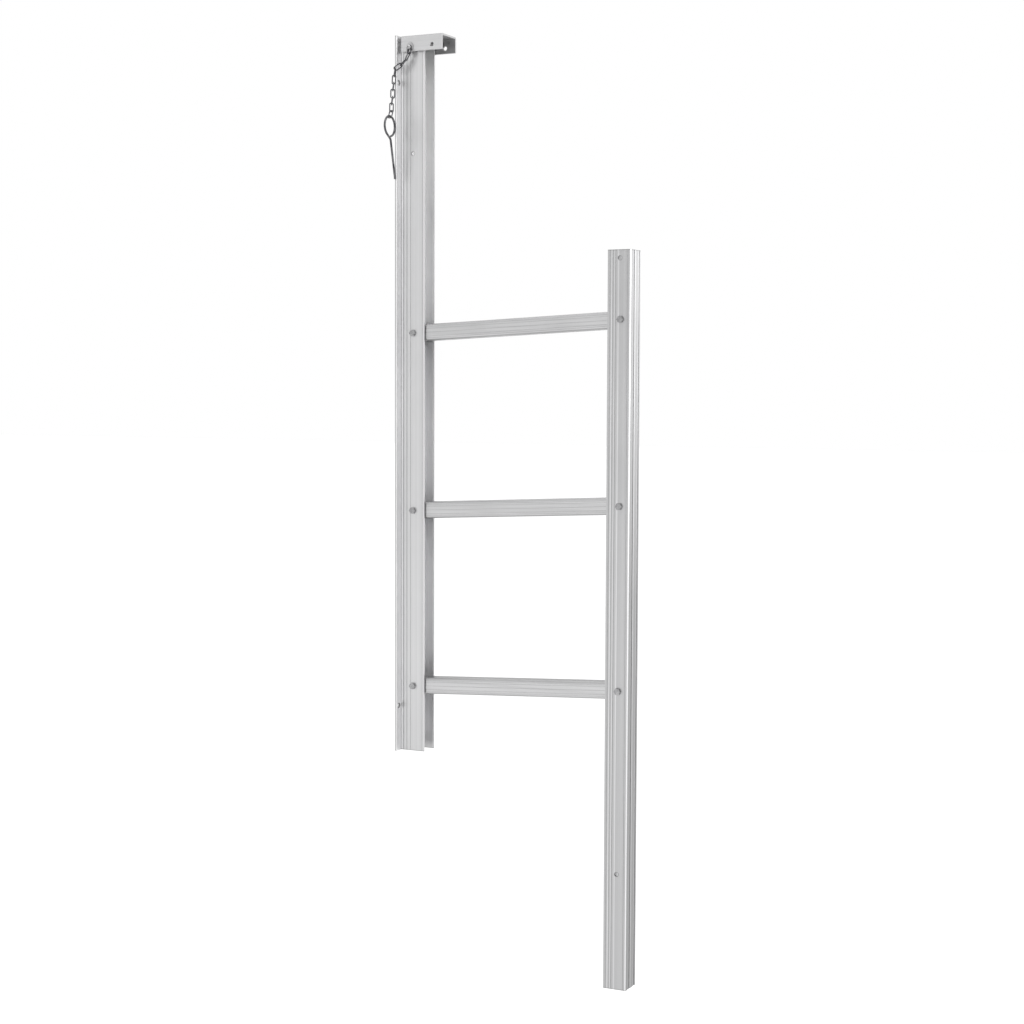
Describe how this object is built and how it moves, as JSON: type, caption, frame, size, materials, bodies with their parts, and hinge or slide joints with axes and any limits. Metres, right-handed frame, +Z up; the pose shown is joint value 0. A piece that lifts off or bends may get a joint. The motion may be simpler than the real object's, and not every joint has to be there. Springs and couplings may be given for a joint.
{
  "type": "folding boat boarding ladder",
  "caption": "Folding parallelogram boarding ladder in aluminium: a fixed rail, pivoting rungs and a moving rail that swings up and closes over the fixed rail under a top bracket.",
  "frame": {"origin": "centre of the fixed rail's mounting face, at mid length and mid depth", "axes": "+X from the mounting face towards the moving rail, +Y from front to back, +Z up along the rails"},
  "size_m": [0.4279, 0.1062, 1.5673],
  "materials": {
    "rail_aluminium": "satin",
    "rung_aluminium": "satin",
    "bracket_aluminium": "satin",
    "fastener_steel": "satin",
    "chain_steel": "polished",
    "nylon": "matte"
  },
  "bodies": {
    "ladder_base": {"fixed_rail": "rail_aluminium", "top_bracket": "bracket_aluminium", "chain_plate": "chain_steel", "bracket_bolt": "fastener_steel", "bracket_nut": "fastener_steel", "bracket_washer": "fastener_steel", "bracket_sleeve": "fastener_steel", "bracket_spacers": "fastener_steel", "chain_draped_links": "chain_steel", "pivot_bolt_fixed_bottom": "fastener_steel", "pivot_washer_fixed_bottom": "fastener_steel", "pivot_nut_fixed_bottom": "fastener_steel", "pivot_sleeve_fixed_bottom": "fastener_steel", "pivot_bolt_fixed_middle": "fastener_steel", "pivot_washer_fixed_middle": "fastener_steel", "pivot_nut_fixed_middle": "fastener_steel", "pivot_sleeve_fixed_middle": "fastener_steel", "pivot_bolt_fixed_top": "fastener_steel", "pivot_washer_fixed_top": "fastener_steel", "pivot_nut_fixed_top": "fastener_steel", "pivot_sleeve_fixed_top": "fastener_steel"},
    "middle_rung": {"rung_middle": "rung_aluminium", "rung_bushes_fixed_middle": "nylon", "rung_bushes_moving_middle": "nylon"},
    "moving_side": {"moving_rail": "rail_aluminium", "pivot_bolt_moving_bottom": "fastener_steel", "pivot_washer_moving_bottom": "fastener_steel", "pivot_nut_moving_bottom": "fastener_steel", "pivot_sleeve_moving_bottom": "fastener_steel", "pivot_bolt_moving_middle": "fastener_steel", "pivot_washer_moving_middle": "fastener_steel", "pivot_nut_moving_middle": "fastener_steel", "pivot_sleeve_moving_middle": "fastener_steel", "pivot_bolt_moving_top": "fastener_steel", "pivot_washer_moving_top": "fastener_steel", "pivot_nut_moving_top": "fastener_steel", "pivot_sleeve_moving_top": "fastener_steel"},
    "top_rung": {"rung_top": "rung_aluminium", "rung_bushes_fixed_top": "nylon", "rung_bushes_moving_top": "nylon"},
    "bottom_rung": {"rung_bottom": "rung_aluminium", "rung_bushes_fixed_bottom": "nylon", "rung_bushes_moving_bottom": "nylon"},
    "hanging_chain": {"chain_hanging_links": "chain_steel"},
    "pin": {"locking_pin": "chain_steel"}
  },
  "joints": [
    {"name": "fold", "type": "hinge", "parent": "ladder_base", "child": "middle_rung", "pos_m": [0.0263, 0, -0.1918], "axis": [0, -1, 0], "range_deg": [0, 81.2]},
    {"name": "rail_swing", "type": "hinge", "parent": "middle_rung", "child": "moving_side", "pos_m": [0.40786, 0, -0.17347], "axis": [0, -1, 0], "range_deg": [-81.2, 0]},
    {"name": "top_rung_fold", "type": "hinge", "parent": "ladder_base", "child": "top_rung", "pos_m": [0.0263, 0, 0.1082], "axis": [0, -1, 0], "range_deg": [0, 81.2]},
    {"name": "bottom_rung_fold", "type": "hinge", "parent": "ladder_base", "child": "bottom_rung", "pos_m": [0.0263, 0, -0.4918], "axis": [0, -1, 0], "range_deg": [0, 81.2]},
    {"name": "chain_swing", "type": "hinge", "parent": "ladder_base", "child": "hanging_chain", "pos_m": [0.00188, -0.04056, 0.52226], "axis": [-1, 0, 0], "range_deg": [0, 50]},
    {"name": "pin_swing", "type": "hinge", "parent": "hanging_chain", "child": "pin", "pos_m": [0.0017, -0.05427, 0.46449], "axis": [-1, 0, 0], "range_deg": [0, 45]}
  ],
  "couplings": [
    {"joint": "rail_swing", "follows": "fold", "ratio": -1},
    {"joint": "top_rung_fold", "follows": "fold", "ratio": 1},
    {"joint": "bottom_rung_fold", "follows": "fold", "ratio": 1}
  ]
}
